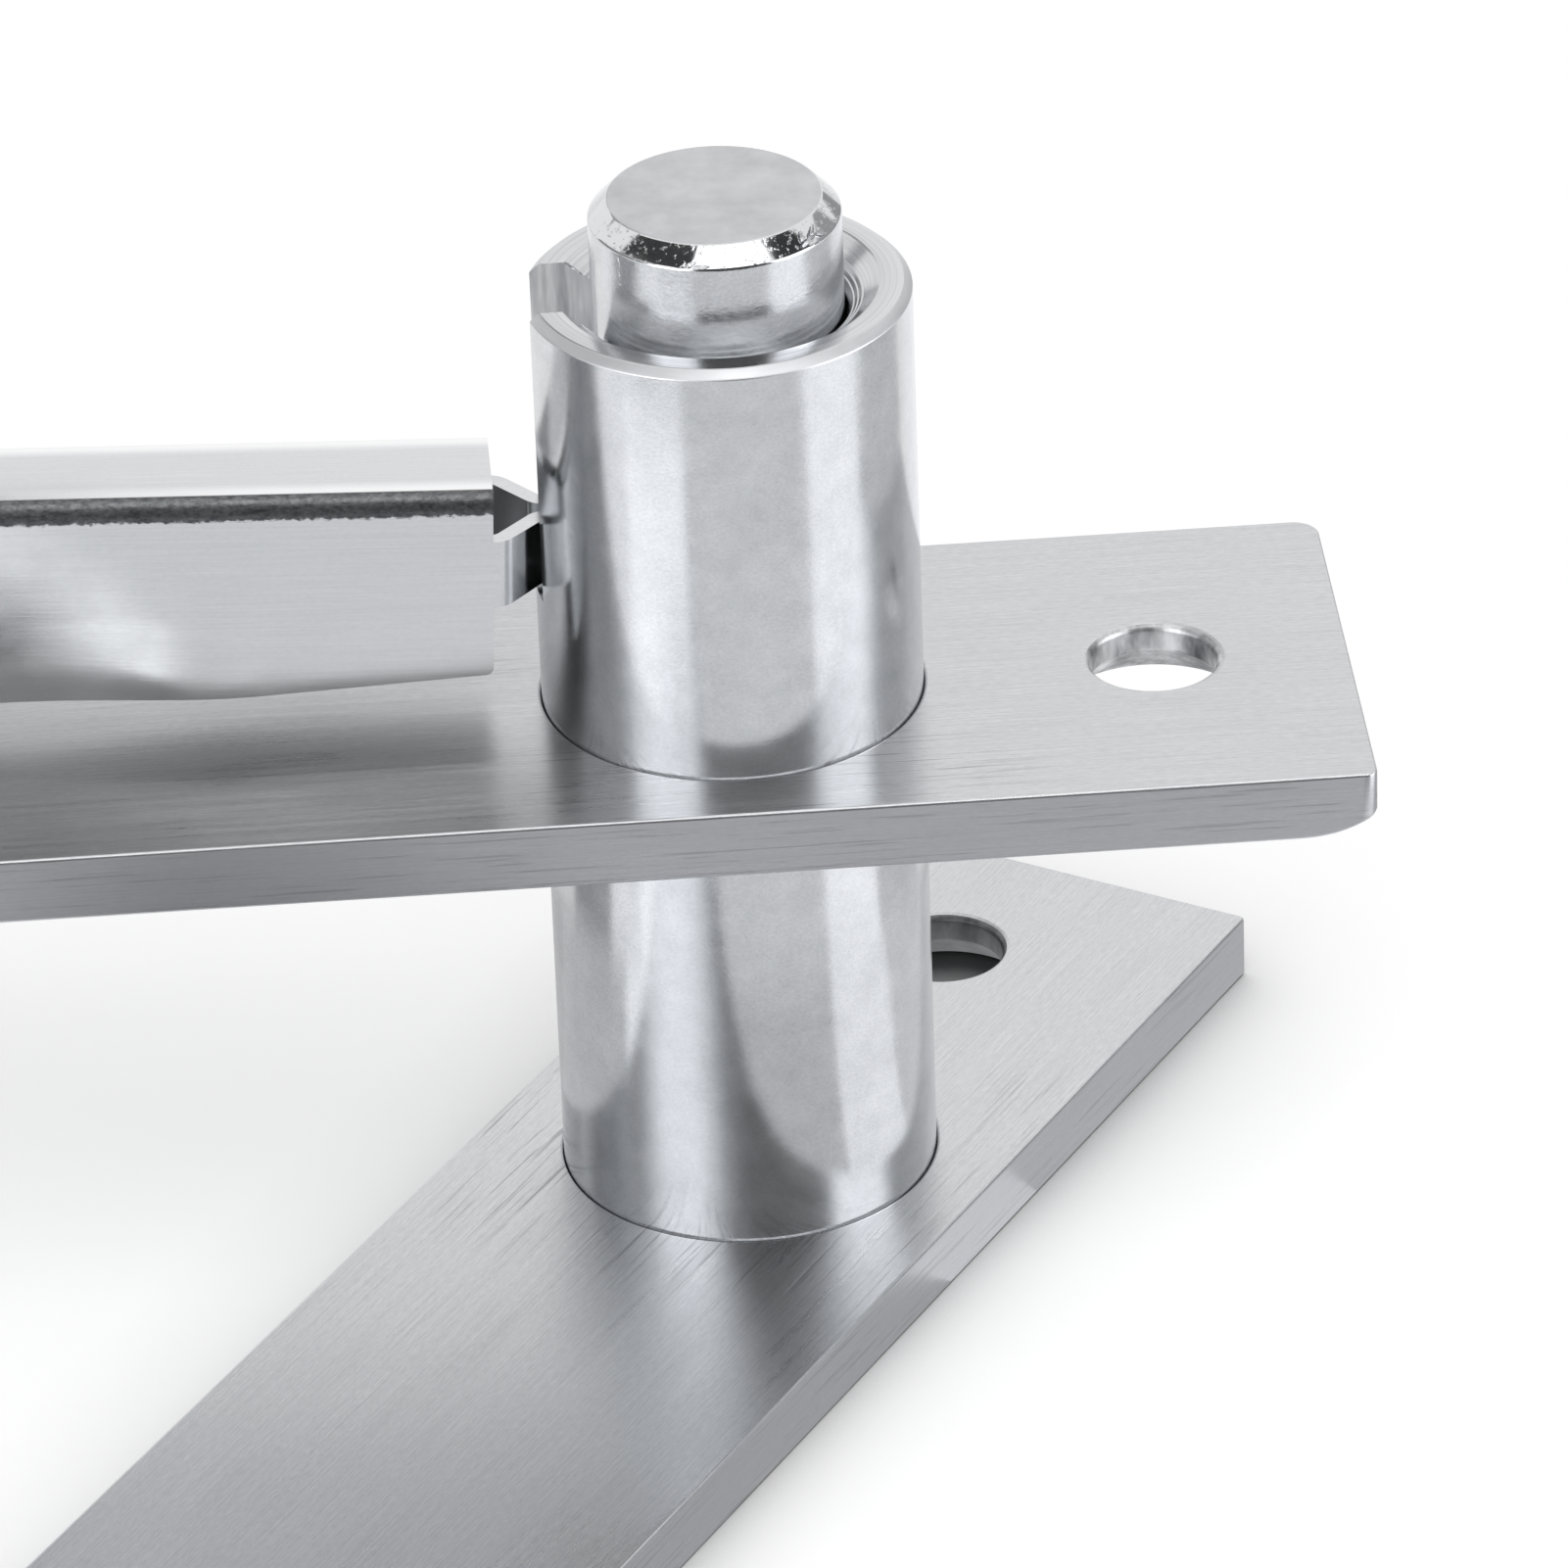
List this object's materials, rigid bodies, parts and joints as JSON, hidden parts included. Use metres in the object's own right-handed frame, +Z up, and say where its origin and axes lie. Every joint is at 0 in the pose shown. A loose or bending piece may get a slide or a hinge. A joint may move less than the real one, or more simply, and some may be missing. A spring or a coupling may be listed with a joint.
{
  "type": "swing door top pivot",
  "caption": "Stainless top pivot for a swing door: a frame plate with a barrel and a lever that draws the pivot pin, over a door plate with a bushed barrel.",
  "frame": {"origin": "on the pivot axis, level with the upper face of the frame plate", "axes": "+Z up along the pivot axis; +X along the frame plate, from the lever's end to the barrel's end; +Y away from the picture's camera; the door plate is shown turned 57.2 degrees about +Z"},
  "size_m": [0.14, 0.1172, 0.0665],
  "materials": {
    "plate_steel": "brushed along the plate",
    "barrel_steel": "fine turned, close to bright",
    "pin_steel": "turned, with a matt end face",
    "lever_steel": "polished",
    "fastener_steel": "plain turned",
    "spring_steel": "dark spring temper",
    "bronze": "bearing bronze, fine bored"
  },
  "bodies": {
    "frame": {"frame_plate": "plate_steel", "frame_barrel": "barrel_steel", "fulcrum_bracket": "plate_steel", "bracket_rivet_front": "fastener_steel", "bracket_rivet_rear": "fastener_steel", "fulcrum_pin": "fastener_steel", "fulcrum_clip": "spring_steel", "screw_washer": "fastener_steel"},
    "beam": {"lever": "lever_steel"},
    "pin": {"pivot_pin": "pin_steel"},
    "nut": {"trunnion_nut": "fastener_steel"},
    "screw": {"adjusting_screw": "fastener_steel", "screw_clip": "spring_steel"},
    "door_leaf": {"door_plate": "plate_steel", "door_barrel": "barrel_steel", "door_bush": "bronze", "thrust_washer": "bronze"}
  },
  "joints": [
    {"name": "lever_tilt", "type": "hinge", "parent": "frame", "child": "beam", "pos_m": [-0.052, 0, 0.0091], "axis": [0, -1, 0], "range_deg": [0, 12.9]},
    {"name": "pin_slide", "type": "slide", "parent": "frame", "child": "pin", "axis": [0, 0, 1], "range_m": [0, 0.01051]},
    {"name": "nut_slide", "type": "slide", "parent": "frame", "child": "nut", "axis": [0, 0, -1], "range_m": [0, 0.00495]},
    {"name": "screw_turn", "type": "hinge", "parent": "frame", "child": "screw", "pos_m": [-0.074, 0, 0], "axis": [0, 0, 1], "range_deg": [0, 2548]},
    {"name": "door_swing", "type": "hinge", "parent": "frame", "child": "door_leaf", "pos_m": [0, 0, 0], "axis": [0, 0, 1], "continuous": true}
  ],
  "couplings": [
    {"joint": "pin_slide", "follows": "lever_tilt", "m_per_rad": 0.04669},
    {"joint": "nut_slide", "follows": "lever_tilt", "m_per_rad": 0.022},
    {"joint": "screw_turn", "follows": "lever_tilt", "ratio": 197.47}
  ]
}
